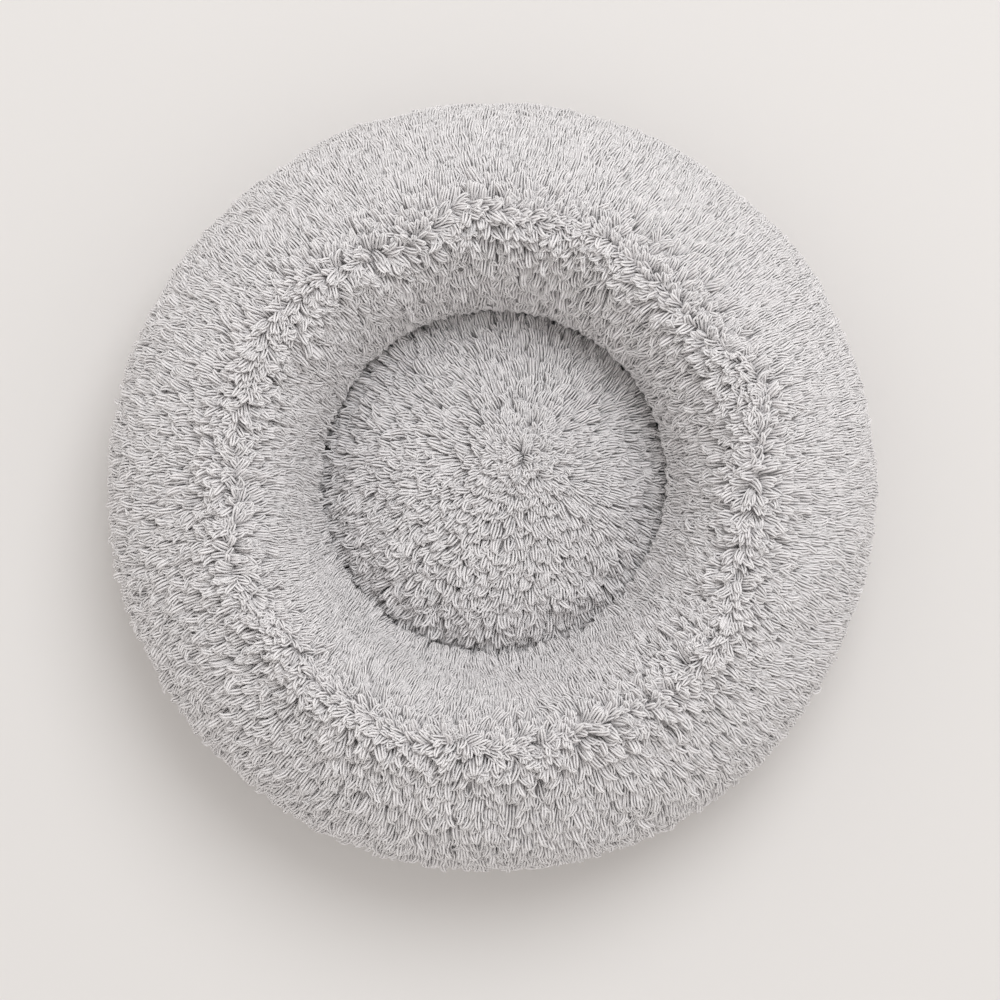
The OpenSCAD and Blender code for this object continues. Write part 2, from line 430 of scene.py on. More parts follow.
def woven_material(name, low, high, pitch, roughness):
    """Flat cloth woven along x and y: warp and weft bands, faint slubs and uneven dye."""
    material = plain_material(name, high, roughness)
    turns = 1 / pitch / WAVES_A_UNIT
    warp = texture(material, "ShaderNodeTexWave", turns, bands_direction="X", Distortion=0.4)
    weft = texture(material, "ShaderNodeTexWave", turns, bands_direction="Y", Distortion=0.4)
    slubs = noise(material, (60, 900, 300), 3)
    dye = noise(material, 24, 4)
    weave = maths(material, "MULTIPLY", warp.outputs["Fac"], weft.outputs["Fac"])
    threads = maths(material, "MULTIPLY_ADD", slubs, 0.5)
    join(material, weave, threads.node.inputs[2])
    shade = maths(material, "MULTIPLY", threads, dye)
    colour_by(material, maths(material, "MULTIPLY", shade, 1.6), low, high)
    roughness_by(material, weave, roughness + 0.12, roughness)
    bump_by(material, threads, 0.25 * MM)
    return material


def fibrous_material(name, low, high, scale, roughness, depth=0.4 * MM):
    """Cloth or wadding with no grain of its own, read alike on walls and floors."""
    material = plain_material(name, high, roughness)
    loops = texture(material, "ShaderNodeTexVoronoi", scale)
    fuzz = noise(material, scale * 0.6, 5, Distortion=0.8)
    dye = noise(material, 18, 3)
    height = maths(material, "SUBTRACT", fuzz, loops.outputs["Distance"])
    colour_by(material, maths(material, "MULTIPLY", fuzz, dye), low, high)
    roughness_by(material, fuzz, roughness - 0.1, roughness + 0.1)
    bump_by(material, height, depth)
    return material


def metal_material(name, colour):
    """Painted cast metal: fine grain, and a softer sheen where fingers rub it."""
    material = plain_material(name, colour, 0.35, Metallic=0.85, Coat_Weight=0.25, Coat_Roughness=0.2)
    grain = noise(material, 1600, 3)
    rub = noise(material, 160, 5)
    colour_by(material, rub, tuple(0.7 * c for c in colour), tuple(1.25 * c for c in colour))
    roughness_by(material, rub, 0.26, 0.5)
    bump_by(material, grain, 0.04 * MM, 0.4)
    return material


def pile_shade(name, level):
    """One shade of the pile's fibre: a warm pale grey with a soft sheen.

    How much light the fibre lets in varies from place to place and along each strand."""
    tint = (1.0, 0.970, 0.980)
    material = plain_material(name, tuple(level * c for c in tint), 0.7, Sheen_Weight=0.32,
                              Sheen_Roughness=0.4, Subsurface_Radius=(1, 1, 1), Subsurface_Scale=2 * MM)
    lie = noise(material, 26, 3)
    fibre = noise(material, 1500, 2)
    both = maths(material, "ADD", lie, fibre)
    let_in = maths(material, "MULTIPLY", both, 0.55)
    join(material, let_in, shader_input(material, "Subsurface Weight"))
    return material


PILE_SHADES = [pile_shade(f"pile_{word}", level) for word, level in
               (("root", 0.82), ("deep", 0.77), ("mid", 0.795), ("pale", 0.82), ("bright", 0.85))]
# The knit backing under the pile. Its fuzz and uneven dye are real. Its tone, a little darker than the
# pile's, is painted shade for the gaps between tufts.
backing_knit_painted_shade = fibrous_material("backing_knit_painted_shade", (0.70, 0.68, 0.685), (0.90, 0.875, 0.88), 700, 0.85)
lining_cloth = woven_material("lining_cloth", (0.34, 0.33, 0.33), (0.58, 0.57, 0.56), 0.5 * MM, 0.75)
base_cloth = woven_material("base_cloth", (0.16, 0.16, 0.165), (0.34, 0.34, 0.345), 0.7 * MM, 0.7)
bag_cloth = fibrous_material("bag_cloth", (0.66, 0.66, 0.64), (0.88, 0.88, 0.86), 420, 0.8)
fibre_fill = fibrous_material("fibre_fill", (0.74, 0.74, 0.72), (0.94, 0.94, 0.92), 180, 0.9, 1.5 * MM)
binding_twill = fibrous_material("binding_twill", (0.30, 0.295, 0.295), (0.52, 0.51, 0.51), 900, 0.7,
                                 0.1 * MM)
tape_weave = woven_material("tape_weave", (0.20, 0.20, 0.205), (0.40, 0.40, 0.41), 0.45 * MM, 0.65)
sewing_thread = fibrous_material("sewing_thread", (0.42, 0.41, 0.41), (0.66, 0.64, 0.64), 2400, 0.6,
                                 0.05 * MM)
label_satin = woven_material("label_satin", (0.72, 0.72, 0.70), (0.92, 0.92, 0.90), 0.3 * MM, 0.42)
coil_nylon = fibrous_material("coil_nylon", (0.26, 0.26, 0.27), (0.44, 0.44, 0.45), 900, 0.4, 0.03 * MM)
grip_rubber = fibrous_material("grip_rubber", (0.50, 0.50, 0.50), (0.72, 0.72, 0.71), 500, 0.6, 0.05 * MM)
zip_paint = metal_material("zip_paint", (0.36, 0.36, 0.38))


# ---- cloth forms

SIM_STEPS = 20


def inflated(grid, seam_rows, swell):
    """The grid after a cloth simulation blows it up between its seams, moving no point beyond swell."""
    rows, columns = grid.shape[:2]
    body = quad_object("cloth_form", grid, quads(rows, columns), backing_knit_painted_shade)
    seams = body.vertex_groups.new(name="seams")
    held = [row * columns + j for row in seam_rows for j in range(columns)]
    seams.add(held, 1.0, "REPLACE")
    cloth = body.modifiers.new("cloth", "CLOTH")
    settings = cloth.settings
    settings.quality = 5
    settings.mass = 0.3
    settings.tension_stiffness = settings.compression_stiffness = 12
    settings.shear_stiffness = 4
    settings.bending_stiffness = 0.4
    settings.use_pressure = True
    settings.uniform_pressure_force = 4
    settings.effector_weights.gravity = 0
    settings.vertex_group_mass = "seams"
    cloth.collision_settings.use_collision = False
    for step in range(1, SIM_STEPS + 1):
        bpy.context.scene.frame_set(step)
    blown = body.evaluated_get(bpy.context.evaluated_depsgraph_get()).data
    points = np.empty(rows * columns * 3)
    blown.vertices.foreach_get("co", points)
    move = points.reshape(grid.shape) - grid
    size = np.linalg.norm(move, axis=2, keepdims=True)
    move *= np.minimum(1, swell / np.maximum(size, 1e-9))
    bpy.context.scene.frame_set(1)
    bpy.data.objects.remove(body)
    return grid + move


def uneven(rng, grid, depth):
    """The grid with the slight hollows and lumps of stuffing behind cloth."""
    rows, columns = grid.shape[:2]
    run = np.linspace(0, 0.4, rows)[:, None]
    rise = waves(rng, around(columns)[None], run, count=10, turns=(3, 26), pitch=(0.06, 0.2))
    fade = np.sin(np.pi * np.linspace(0, 1, rows))[:, None] ** 0.5
    return grid + grid_normals(grid) * (depth * rise * fade)[..., None]


COLUMNS = 240
RIM_ROWS = 72
SEAT_ROWS = 40
UNDER_ROWS = 48
CLOTH_T = 1.2 * MM
LINING_T = 0.8 * MM
SWELL = 3 * MM

# The rim's cloth, under its pile, from the base seam over the crest to the well's floor
RIM_CLOTH = [
    (BINDING_R - 1 * MM, BINDING_H),
    (BED_R - 25 * MM, 24 * MM),
    (BED_R - 9 * MM, 78 * MM),
    (BED_R - 22 * MM, 120 * MM),
    (BED_R - 56 * MM, 153 * MM),
    (CREST_R, BED_H - 11 * MM),
    (WELL_R + 33 * MM, 150 * MM),
    (WELL_R + 14 * MM, 116 * MM),
    (WELL_R + 9 * MM, 84 * MM),
    (WELL_R + 10 * MM, 44 * MM),
    (WELL_FLOOR_R, WELL_FLOOR_TOP + 1 * MM),
]
# The seat's cloth, under its pile, from the hem over the shoulder to the crown
SEAT_CLOTH = [
    (SEAT_R - 6 * MM, SEAT_HEM_Z),
    (SEAT_R - 5 * MM, 46 * MM),
    (SEAT_R - 6 * MM, 63 * MM),
    (SEAT_R - 15 * MM, 77 * MM),
    (SEAT_R - 46 * MM, SEAT_TOP_Z - 18 * MM),
    (SEAT_R - 90 * MM, SEAT_TOP_Z - 11 * MM),
    (2 * MM, SEAT_TOP_Z - 9 * MM),
]

rng = np.random.default_rng(7)
rim_outline = smooth_outline(RIM_CLOTH, RIM_ROWS)
crest_row = int(np.argmax(rim_outline[:, 1]))
rim_grid = uneven(rng, turned_grid(rim_outline, COLUMNS), 0.8 * MM)
rim = Patch(inflated(rim_grid, (0, 1, crest_row, RIM_ROWS - 2, RIM_ROWS - 1), SWELL))
seat_grid = uneven(rng, turned_grid(smooth_outline(SEAT_CLOTH, SEAT_ROWS), COLUMNS), 0.7 * MM)
seat = Patch(inflated(seat_grid, (0, 1, SEAT_ROWS - 1), SWELL))
CREST_RUN = rim.run[crest_row]


def place(piece, body, slot, *nodes):
    """Says which body the piece rides on, and hides the CAD nodes it stands for. slot, the finish, is not
    used.
    """
    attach(piece, body)
    if nodes:
        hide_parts(*nodes)
    return piece


def wall_cloths():
    outer = shell("outer_wall_cloth", rim.grid[:crest_row + 1], CLOTH_T, backing_knit_painted_shade)
    inner = shell("inner_wall_cloth", rim.grid[crest_row:], CLOTH_T, backing_knit_painted_shade)
    place(outer, "bed", "plush_outer", "outer_wall_panel")
    place(inner, "bed", "plush_inner", "inner_wall_panel")


def seat_cloths():
    top = shell("seat_top_cloth", seat.grid, CLOTH_T, backing_knit_painted_shade)
    place(top, "seat", "plush_seat", "seat_top_cover")
    under = [
        (2 * MM, SEAT_FLOOR_Z),
        (SEAT_R - 60 * MM, SEAT_FLOOR_Z),
        (SEAT_R - 32 * MM, SEAT_FLOOR_Z + 1 * MM),
        (SEAT_R - 14 * MM, SEAT_FLOOR_Z + 7 * MM),
        (SEAT_R - 6 * MM, SEAT_HEM_Z - 0.4 * MM),
    ]
    grid = turned_grid(smooth_outline(under, UNDER_ROWS), COLUMNS)
    angle = around(COLUMNS)
    # The cloth is gathered where it meets the hem
    rise = np.clip(np.linspace(-1.2, 1, UNDER_ROWS), 0, 1) ** 2
    gathers = 0.5 * MM * rise[:, None] * (1 + np.sin(60 * angle + 1.5 * np.sin(7 * angle)))
    grid -= grid_normals(grid) * gathers[..., None]
    bottom = shell("seat_under_cloth", grid, LINING_T, lining_cloth)
    place(bottom, "seat", "lining_cloth", "seat_bottom_cover")


# ---- bags and stuffing

def lumps(rng, points, size, count=14):
    """A smooth random field in space, from -1 upwards, whose lumps are about size across."""
    field = np.zeros(points.shape[:-1])
    for _ in range(count):
        wave = unit(rng.normal(0, 1, 3)) * TURN / (size * rng.uniform(0.8, 2.4))
        field += np.sin(points @ wave + rng.uniform(0, TURN))
    return np.maximum(field / math.sqrt(count), -1)


def turned_outline(node, count):
    """The outline of a turned CAD node as (radius, z), anticlockwise. It is closed for a ring, and runs
    from the underside's centre to the top's for a body on the axis."""
    points = node_points(node)
    outline = np.unique(np.round(np.column_stack([polar(points)[0], points[:, 2]]), 5), axis=0)
    middle = (outline.min(0) + outline.max(0)) / 2
    on_axis = outline[:, 0].min() < 1 * MM
    if on_axis:
        middle[0] = 0
        outline = np.vstack([[0.01 * MM, outline[:, 1].min()], outline])
    turn = np.arctan2(outline[:, 1] - middle[1], outline[:, 0] - middle[0])
    outline = outline[np.argsort(turn)]
    if on_axis:
        outline[:, 0] = np.maximum(outline[:, 0], 2 * MM)
        return even_outline(outline, count)
    return even_outline(np.vstack([outline, outline[:1]]), count + 1)[:-1]


PLAIN_COLUMNS = 200


def bag_and_stuffing(rng, name, body, rows):
    """Loose fibre in lumps, and a thin bag that hugs it."""
    ring = body == "bed"
    grid = turned_grid(turned_outline(f"{name}_filling", rows), PLAIN_COLUMNS)
    normals = grid_normals(grid)
    depth = (1 + lumps(rng, grid, 24 * MM)) * 1.2 * MM + (1 + lumps(rng, grid, 7 * MM)) * 0.4 * MM
    make = ring_body if ring else capped_body
    fibre = make(f"{name}_stuffing", grid - normals * depth[..., None], fibre_fill)
    slack = (1.0 + 0.3 * lumps(rng, grid, 30 * MM)) * MM
    bag = shell(f"{name}_bag", grid + normals * slack[..., None], 0.5 * MM, bag_cloth,
                normals=normals, close_rows=ring)
    place(fibre, body, "fibre_fill", f"{name}_filling")
    place(bag, body, "bag_cloth", f"{name}_liner")


# ---- floor of the well and underside

GRIP_H = 0.5 * MM
HEM_FOLD = 0.35 * MM
STITCH_GAP = 3.4 * MM


def well_floor(rng):
    top = WELL_FLOOR_TOP - 0.15 * MM
    outline = np.column_stack([np.linspace(WELL_FLOOR_R - 0.3 * MM, 2 * MM, 60), np.full(60, top)])
    grid = turned_grid(outline, PLAIN_COLUMNS)
    grid[..., 2] += 0.1 * MM * lumps(rng, grid, 26 * MM)
    cloth = shell("well_floor_cloth", grid, LINING_T, lining_cloth)
    seam = stitch_ring("well_floor_stitches", WELL_FLOOR_R - 4 * MM, top, (0, 1), 3.6 * MM, 2.8 * MM)
    place(cloth, "bed", "lining_cloth", "well_floor_panel")
    place(seam, "bed", "lining_cloth")


def underside_z(radius):
    """Height of the base cloth's underside: flat under the rim, and raised clear of the floor inside."""
    rise = np.clip((RECESS_OUT_R - radius) / (RECESS_OUT_R - RECESS_IN_R), 0, 1)
    return GRIP_H + (RECESS_Z - GRIP_H) * rise**2 * (3 - 2 * rise)


def base_half(rng, side, name):
    """Half of the base, from the zip's slot and the seams in line with it to the binding."""
    x = BASE_R * np.cos(np.linspace(0.02, np.pi - 0.02, 260))
    corners = SLOT_X + np.array([-0.1, 0.1]) * MM
    x = np.sort(np.concatenate([x[np.abs(np.abs(x) - SLOT_X) > 0.3 * MM], corners, -corners]))[::-side]
    start = np.where(np.abs(x) < SLOT_X, SLOT_Y, 0.1 * MM)
    end = np.sqrt(BASE_R**2 - x**2)
    share = np.linspace(0, 1, 100)[:, None] ** 1.1
    y = side * (start + share * (end - start))
    grid = points_at(x, y, 0)
    grid[..., 2] = underside_z(polar(grid)[0]) + 0.08 * MM * lumps(rng, grid, 30 * MM)
    # The edge of the slot is folded double
    hem = (np.abs(x) < SLOT_X) & (np.abs(y) < SLOT_Y + 4.5 * MM)
    grid[..., 2] -= HEM_FOLD * hem
    cloth = shell(f"base_{name}_cloth", grid, 1.3 * MM, base_cloth, close_columns=False, normals=-UP)
    seam_x = np.arange(-SLOT_X + 2 * MM, SLOT_X - 2 * MM, STITCH_GAP)
    far_x = np.arange(SLOT_X + 4 * MM, BASE_R - 5 * MM, STITCH_GAP)
    far_x = np.concatenate([far_x, -far_x])
    # Two rows beside the slot and one beside the seams in line with it: places along, place across, drop
    rows = [(seam_x, SLOT_Y + 1.6 * MM, HEM_FOLD), (seam_x, SLOT_Y + 3.6 * MM, HEM_FOLD),
            (far_x, 2.6 * MM, 0)]
    centres = np.concatenate([points_at(at, side * y_at, underside_z(np.hypot(at, y_at)) - drop)
                              for at, y_at, drop in rows])
    back, ahead = (underside_z(np.hypot(centres[:, 0] + step, centres[:, 1])) for step in (-1 * MM, 1 * MM))
    headings = unit(points_at(2 * MM, 0, ahead - back))
    outward = np.cross(headings, [0.0, -1.0, 0.0])
    seam = stitches(f"base_{name}_stitches", centres, headings, outward, 2.7 * MM)
    dots = grip_dots(f"base_{name}_grips", side)
    place(cloth, "bed", "base_cloth", f"base_panel_{name}")
    place(seam, "bed", "base_cloth")
    place(dots, "bed", "base_cloth")


def grip_dots(name, side, gap=13 * MM, radius=2 * MM, sides=10):
    """Round rubber dots in staggered rows on the part of the base that stands on the floor."""
    count = int(BASE_R / gap) + 2
    i, j = np.meshgrid(np.arange(-count, count), np.arange(1, count + 4), indexing="ij")
    i, j = i.ravel(), j.ravel()
    x, y = (i + 0.5 * (j % 2)) * gap, side * j * gap * 0.87
    from_middle = np.hypot(x, y)
    keep = (from_middle > RECESS_OUT_R + 6 * MM) & (from_middle < BASE_R - 6 * MM)
    x, y = x[keep], y[keep]
    angle = around(sides)
    levels = [(1.0, GRIP_H + 0.3 * MM), (1.0, 0.32 * MM), (0.86, 0.14 * MM), (0.5, 0.05 * MM)]
    dot = [[share * radius * np.cos(a), share * radius * np.sin(a), z] for share, z in levels for a in angle]
    dot = np.array(dot + [[0, 0, 0.02 * MM]])
    points = dot[None] + points_at(x, y, 0)[:, None]
    k = np.arange(sides)
    on = (k + 1) % sides
    # The levels go downwards, so these run the other way round from a grid's own faces
    walls = np.concatenate([np.stack([level * sides + on, level * sides + k, (level + 1) * sides + k,
                                      (level + 1) * sides + on], -1) for level in range(3)])
    tip = np.stack([3 * sides + on, 3 * sides + k, np.full(sides, 4 * sides)], -1)
    corners = np.concatenate([walls.ravel(), tip.ravel(), k])
    counts = np.concatenate([np.full(len(walls), 4), np.full(sides, 3), [sides]])
    shift = len(dot) * np.arange(len(x))[:, None]
    return mesh_object(name, points.reshape(-1, 3), (corners[None] + shift).ravel(), np.tile(counts, len(x)),
                       [grip_rubber])


def binding(rng):
    """The folded tape that binds the edge of the base to the rim."""
    turn = around(14)
    low = GRIP_H + 0.1 * MM
    middle = np.array([(BINDING_R + BINDING_IN_R) / 2, (BINDING_H + low) / 2])
    half = np.array([(BINDING_R - BINDING_IN_R) / 2, (BINDING_H - low) / 2])
    circle = np.column_stack([np.cos(turn), np.sin(turn)])
    rounded = np.sign(circle) * np.abs(circle) ** 0.6
    grid = turned_grid(middle + half * rounded, 900)
    grid -= grid_normals(grid) * (0.12 * MM * (1 + lumps(rng, grid, 6 * MM)))[..., None]
    ring = ring_body("binding_ring", grid, binding_twill)
    seam = stitch_ring("binding_stitches", middle[0], low + 0.1 * MM, (0, -1), STITCH_GAP, 2.6 * MM)
    place(ring, "bed", "binding_tape", "base_binding")
    place(seam, "bed", "binding_tape")


# ---- zip and label

def zip_side(side, name):
    """One side of the zip: a ribbed tape and a coil of nylon along its edge."""
    low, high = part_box(f"zip_tape_{name}")
    x = np.arange(low.x, high.x, 0.5 * MM)[::side]
    near, far = sorted([abs(low.y), abs(high.y)])
    y = side * np.linspace(near, far, 16)
    ribs = 0.05 * MM * (np.arange(len(x)) % 2) + 0.04 * MM * (np.arange(len(y)) % 2)[:, None]
    grid = points_at(x, y[:, None], high.z - ribs)
    tape = shell(f"zip_{name}_tape_cloth", grid, high.z - low.z - 0.12 * MM, tape_weave,
                 close_columns=False, normals=UP)
    place(tape, "bed", "zip_tape", f"zip_tape_{name}")

    low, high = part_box(f"zip_coil_{name}")
    wire, pitch, steps = 0.23 * MM, 1.5 * MM, 12
    turns = int((high.x - low.x - 2 * wire) / pitch)
    t = np.linspace(0, turns, turns * steps + 1)
    path = np.column_stack([
        (low.x + high.x) / 2 + (t - turns / 2) * pitch,
        (low.y + high.y) / 2 + ((high.y - low.y) / 2 - wire) * np.cos(TURN * t),
        (low.z + high.z) / 2 + ((high.z - low.z) / 2 - wire) * np.sin(TURN * t)])
    coil = capped_body(f"zip_{name}_coil_wire", tube_grid(path, wire, sides=6, up=(1, 0, 0)), coil_nylon)
    place(coil, "bed", "zip_coil", f"zip_coil_{name}")


def zip_metal():
    for name, node, body, width in (("zip_slider_body", "zip_slider", "slider", 0.35),
                                    ("zip_pull_tab", "zip_pull", "pull", 0.3),
                                    ("zip_top_stop_pair", "zip_top_stops", "bed", 0.3),
                                    ("zip_bottom_stop_block", "zip_bottom_stop", "bed", 0.3)):
        place(bevelled(name, node, width * MM, zip_paint), body, "zip_metal", node)


def care_label():
    """A blank satin label, sewn to the base along one edge, whose free end curls away from the cloth."""
    low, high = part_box("care_label")
    x, y = np.linspace(low.x, high.x, 36), np.linspace(high.y, low.y, 26)
    free = np.linspace(0, 1, 26)[:, None]
    across = np.linspace(-1, 1, 36)
    z = low.z - 1.6 * MM * free**2 * (1 + 0.35 * across) + 0.25 * MM * free * np.sin(2.6 * across)
    label = shell("care_label_satin", points_at(x, y[:, None], z), 0.25 * MM, label_satin,
                  close_columns=False, normals=-UP)
    at = np.linspace(low.x + 2 * MM, high.x - 2 * MM, 11)
    centres = points_at(at, high.y - 1.6 * MM, low.z)
    seam = stitches("care_label_stitches", centres, np.tile([1.0, 0, 0], (11, 1)),
                    np.tile([0.0, 0, -1], (11, 1)), 2.2 * MM, 0.35 * MM)
    place(label, "bed", "label_cloth", "care_label")
    place(seam, "bed", "label_cloth")


# ---- pile

# A tuft is two long loops of yarn side by side, and each loop is two strands that meet at its tip. These
# are the places of the rings along a strand from its root, how far apart the loops and the strands of a
# loop are there, as shares of their greatest distance, and how thick the strand is.
KNOTS = np.array([0, 0.30, 0.60, 0.83, 0.955, 1.0])
TUFT_SHAPE = np.array([0.7, 0.95, 1.0, 0.85, 0.75, 0.72])
LOOP_SHAPE = np.array([0.8, 0.95, 1.05, 1.0, 0.62, 0.25])
STRAND_SHAPE = np.array([0.85, 1.0, 1.0, 1.0, 0.9])
STRANDS = 4
LOOP_W = 2.2 * MM
STRAND_W = 1.85 * MM
LOOP_SIDE = np.array([-1, 1, -1, 1])
RINGS = len(KNOTS) - 1
STRAND_POINTS = 3 * RINGS + 1


def strand_faces():
    """Corners and counts of the faces of one closed three-sided strand, from its root to its tip."""
    corners = []
    for ring in range(RINGS - 1):
        for k in range(3):
            a, b = 3 * ring + k, 3 * ring + (k + 1) % 3
            corners += [a, a + 3, b + 3, b]
    end = 3 * RINGS - 3
    for k in range(3):
        corners += [end + k, 3 * RINGS, end + (k + 1) % 3]
    return corners + [0, 1, 2], [4] * end + [3] * 4


def tufts_of_strands(rng, root, normal, comb, length, lift, low, width, mess, keep):
    """Points of every strand of many tufts, one tuft per row of the arguments.

    A tuft leaves the cloth at the angle lift, ends at the angle low, and points along comb. mess is how
    far its strands stray, and keep moves points out of places where the pile is pressed flat."""
    tufts = len(root)
    shape = (tufts, STRANDS, 1)
    loops = (tufts, STRANDS // 2, 1)
    side = unit(np.cross(comb, normal))
    # From here on the axes are tuft, strand and ring, and for points and directions also x, y and z
    root, normal, comb, side, length, lift, low, width, mess = (
        values[:, None, None] for values in (root, normal, comb, side, length, lift, low, width, mess))
    t = (KNOTS[1:] + KNOTS[:-1]) / 2
    sway = rng.normal(0, 0.16, (tufts, 1, 1)) * (0.4 + mess)
    curl = rng.normal(0, 0.27, (tufts, 1, 1)) * (0.4 + mess)
    stray = np.repeat(rng.normal(0, 0.16, loops), 2, axis=1) * (0.4 + mess)
    rise = np.repeat(rng.normal(0, 0.10, loops), 2, axis=1) * (0.4 + mess)
    tip_hook = np.repeat(rng.normal(0, 0.6, loops), 2, axis=1) * (0.3 + mess)
    across = np.repeat(np.array([[-0.5], [0.5]]) + rng.uniform(-0.15, 0.15, loops), 2, axis=1)
    reach = length * np.repeat(rng.uniform(0.86, 1.06, loops), 2, axis=1)
    pitch = lift + rise + (low - lift) * t**0.8 - 0.5 * t**5
    swing = sway * (2 * t - 1) + curl * t**2 + stray * t + tip_hook * t**4
    heading = (
        comb * (np.cos(pitch) * np.cos(swing))[..., None]
        + side * (np.cos(pitch) * np.sin(swing))[..., None]
        + normal * np.sin(pitch)[..., None]
    )
    steps = heading * reach[..., None] * np.diff(KNOTS)[:, None]
    line = np.concatenate([np.zeros((*shape, 3)), np.cumsum(steps, axis=2)], axis=2)
    slim = 0.84 + 0.22 * mess
    spread = across * width / 2 * TUFT_SHAPE + (LOOP_SIDE[:, None] * LOOP_W / 2 * LOOP_SHAPE) * slim
    crown = -0.22 * width * across**2 * TUFT_SHAPE
    line += root + side * spread[..., None] + normal * crown[..., None]
    line = keep(line)

    heading = np.concatenate([heading, heading[:, :, -1:]], axis=2)
    twist = rng.uniform(-0.5, 0.5, shape)[..., None]
    flat = unit(np.cross(heading, normal) + twist * normal)[:, :, :-1]
    ridge = unit(np.cross(flat, heading[:, :, :-1]))
    thick = rng.uniform(0.85, 1.15, shape) * STRAND_W * slim
    half = (thick * STRAND_SHAPE / 2)[..., None]
    middle = line[:, :, :-1]
    rings = np.stack([middle + flat * half, middle + ridge * half * 1.3, middle - flat * half], axis=3)
    rings = rings.reshape(tufts, STRANDS, 3 * RINGS, 3)
    return np.concatenate([rings, line[:, :, -1:]], axis=2)


def pile_piece(rng, name, points, body, slot):
    """One object of strands. Each strand has a shade near its tuft's, and all roots have the same shade."""
    tufts, strands = len(points), len(points) * STRANDS
    one_corners, one_counts = strand_faces()
    corners = np.array(one_corners) + STRAND_POINTS * np.arange(strands)[:, None]
    shade = rng.integers(1, 4, (tufts, 1)) + rng.integers(0, 2, (tufts, STRANDS))
    index = np.repeat(shade.reshape(-1, 1), len(one_counts), axis=1)
    # The three faces round the root and the one that closes it
    index[:, [0, 1, 2, -1]] = 0
    piece = mesh_object(name, points.reshape(-1, 3), corners.ravel(), np.tile(one_counts, strands),
                        PILE_SHADES, index.ravel())
    return place(piece, body, slot)


# The pile leaves free the well inside NECK_R, and below FOOT_H the base inside FOOT_R
NECK_R = WELL_R - 2 * MM
FOOT_R = BINDING_R + 1 * MM
FOOT_H = 12 * MM
FLOOR_CLEAR = 1.5 * MM
# Between rows of tufts, and between the tufts of a row
RIM_PITCH = (5.8 * MM, 4.3 * MM)
SEAT_PITCH = (6.0 * MM, 4.4 * MM)
# Where the pile on the crest parts in a star, as angles round the bed
COWLICKS = np.radians([0, -43, -72, 118])
# The side where the pile is finest outside, and loosest inside
FINE_SIDE = np.radians(60)
# Where the pile on the seat parts, and how far round it more tufts stand up
WHORL = np.array([23 * MM, 20 * MM, SEAT_TOP_Z - 10 * MM])
WHORL_R = 30 * MM
WHORL_TUFTS = 260


def ragged(angle):
    """How far the tips of a row of tufts stand in and out along their edge, between -1 and 1."""
    return 0.55 * np.sin(47 * angle + 2 * np.sin(13 * angle)) + 0.45 * np.sin(131 * angle)


def keep_rim(line):
    """Pile in the well leans over the seat's edge, and pile at the foot stays outside the binding."""
    radius, angle = polar(line)
    # The well's mouth sits a little behind the middle of the bed, and the pile in front leans far in
    lean = np.cos(angle) + (5 - 3 * np.sin(angle)) * np.sin(angle) + 1.5 * ragged(angle)
    at_foot = (radius > CREST_R) & (line[..., 2] < FOOT_H)
    least = np.where(at_foot, FOOT_R, NECK_R + lean * MM)
    scale = np.maximum(1, least / np.maximum(radius, 1e-6))
    line[..., :2] *= scale[..., None]
    floor_z = np.where(radius < CREST_R, WELL_FLOOR_TOP + FLOOR_CLEAR, FLOOR_CLEAR)
    line[..., 2] = np.maximum(line[..., 2], floor_z)
    return line


def keep_seat(line):
    """The seat's pile reaches a little way into the pile of the well's wall and no further."""
    radius, angle = polar(line)
    limit = SEAT_R + (3 + 2 * np.sin(angle) - 2 * np.cos(angle) + 1.2 * ragged(-angle)) * MM
    line[..., :2] *= np.minimum(1, limit / np.maximum(radius, 1e-6))[..., None]
    line[..., 2] = np.maximum(line[..., 2], SEAT_HEM_Z - 6 * MM)
    return line


def away_from(point, normal, centre):
    """Unit directions along the surface away from a centre, and the distances from it."""
    away = point - centre
    away -= np.sum(away * normal, 1)[:, None] * normal
    return unit(away), np.linalg.norm(point - centre, axis=1)


